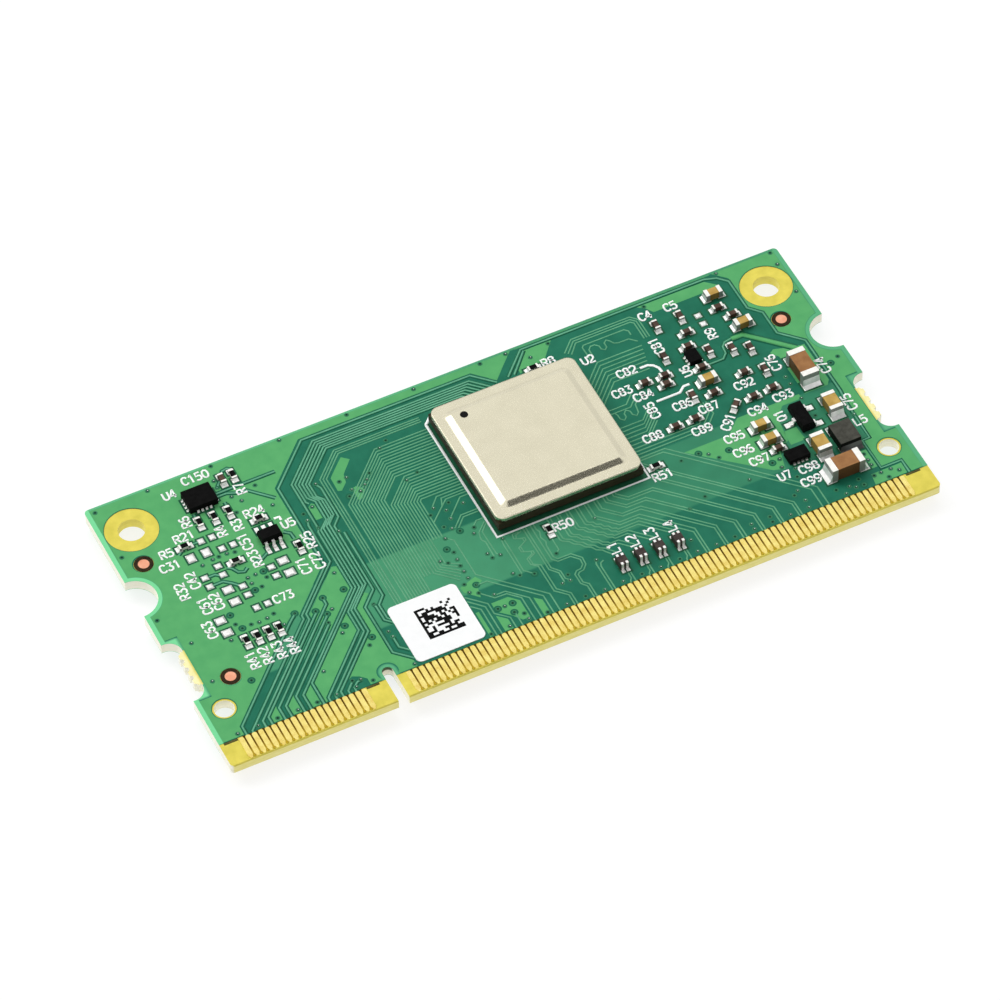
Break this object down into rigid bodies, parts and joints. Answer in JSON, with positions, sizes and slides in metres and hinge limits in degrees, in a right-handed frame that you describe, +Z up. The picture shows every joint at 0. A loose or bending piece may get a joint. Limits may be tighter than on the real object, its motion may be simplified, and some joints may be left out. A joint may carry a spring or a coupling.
{
  "type": "system on module",
  "caption": "Slim edge-connector computer card with gold contacts, a lidded processor, small parts round it, a key slot, latch notches and screw holes.",
  "frame": {"origin": "centre of the card in plan, on the plane that the underside packages rest on", "axes": "+X along the contact edge, +Y away from the contacts, +Z up out of the processor side"},
  "size_m": [0.0676, 0.031, 0.004],
  "materials": {
    "laminate": "sawn glass-fibre laminate",
    "mask": "glossy translucent lacquer",
    "gold": "thin gold plating",
    "copper": "bare copper",
    "tin": "bright reflowed solder",
    "lid": "fine satin nickel",
    "substrate": "sawn organic laminate",
    "silicon": "polished",
    "film": "soft grey film",
    "adhesive": "cured bead",
    "moulding": "fine matte moulding",
    "ferrite": "pressed powder",
    "ceramic_brown": "fired ceramic",
    "ceramic_tan": "fired ceramic",
    "ceramic_dark": "fired ceramic",
    "ceramic_white": "fired alumina",
    "coat": "glassy overcoat",
    "paper": "matte white label stock"
  },
  "bodies": {
    "root": {"circuit_board": "laminate", "solder_mask_top": "mask", "solder_mask_bottom": "mask", "contacts_top_short": "gold", "contacts_top_long": "gold", "contacts_bottom_short": "gold", "contacts_bottom_long": "gold", "fiducials": "copper", "label": "paper", "lands_bare": "tin", "lands_top": "tin", "lands_bottom": "tin", "solder_fillets": "tin", "processor_balls": "tin", "processor_substrate": "substrate", "processor_die": "silicon", "thermal_film": "film", "lid_adhesive": "adhesive", "processor_lid": "lid", "quad_chip_body": "moulding", "quad_chip_leads": "tin", "buffer_chip_body": "moulding", "buffer_chip_leads": "tin", "regulator_body": "moulding", "regulator_leads": "tin", "converter_body": "moulding", "converter_leads": "tin", "transistor_body": "moulding", "transistor_leads": "tin", "inductor_body": "ferrite", "inductor_terminals": "tin", "choke_bodies": "ferrite", "choke_terminals": "tin", "bulk_capacitor_bodies": "ceramic_brown", "bulk_capacitor_ends": "tin", "large_capacitor_bodies": "ceramic_tan", "large_capacitor_ends": "tin", "medium_capacitor_bodies": "ceramic_tan", "medium_capacitor_ends": "tin", "small_capacitor_bodies": "ceramic_dark", "small_capacitor_ends": "tin", "resistor_cores": "ceramic_white", "resistor_coats": "coat", "resistor_ends": "tin", "memory_body": "moulding", "memory_balls": "tin", "flash_body": "moulding", "flash_balls": "tin", "crystal_base": "ceramic_tan", "crystal_can": "lid", "under_capacitor_bodies": "ceramic_dark", "under_capacitor_ends": "tin", "under_medium_bodies": "ceramic_tan", "under_medium_ends": "tin"}
  },
  "joints": []
}
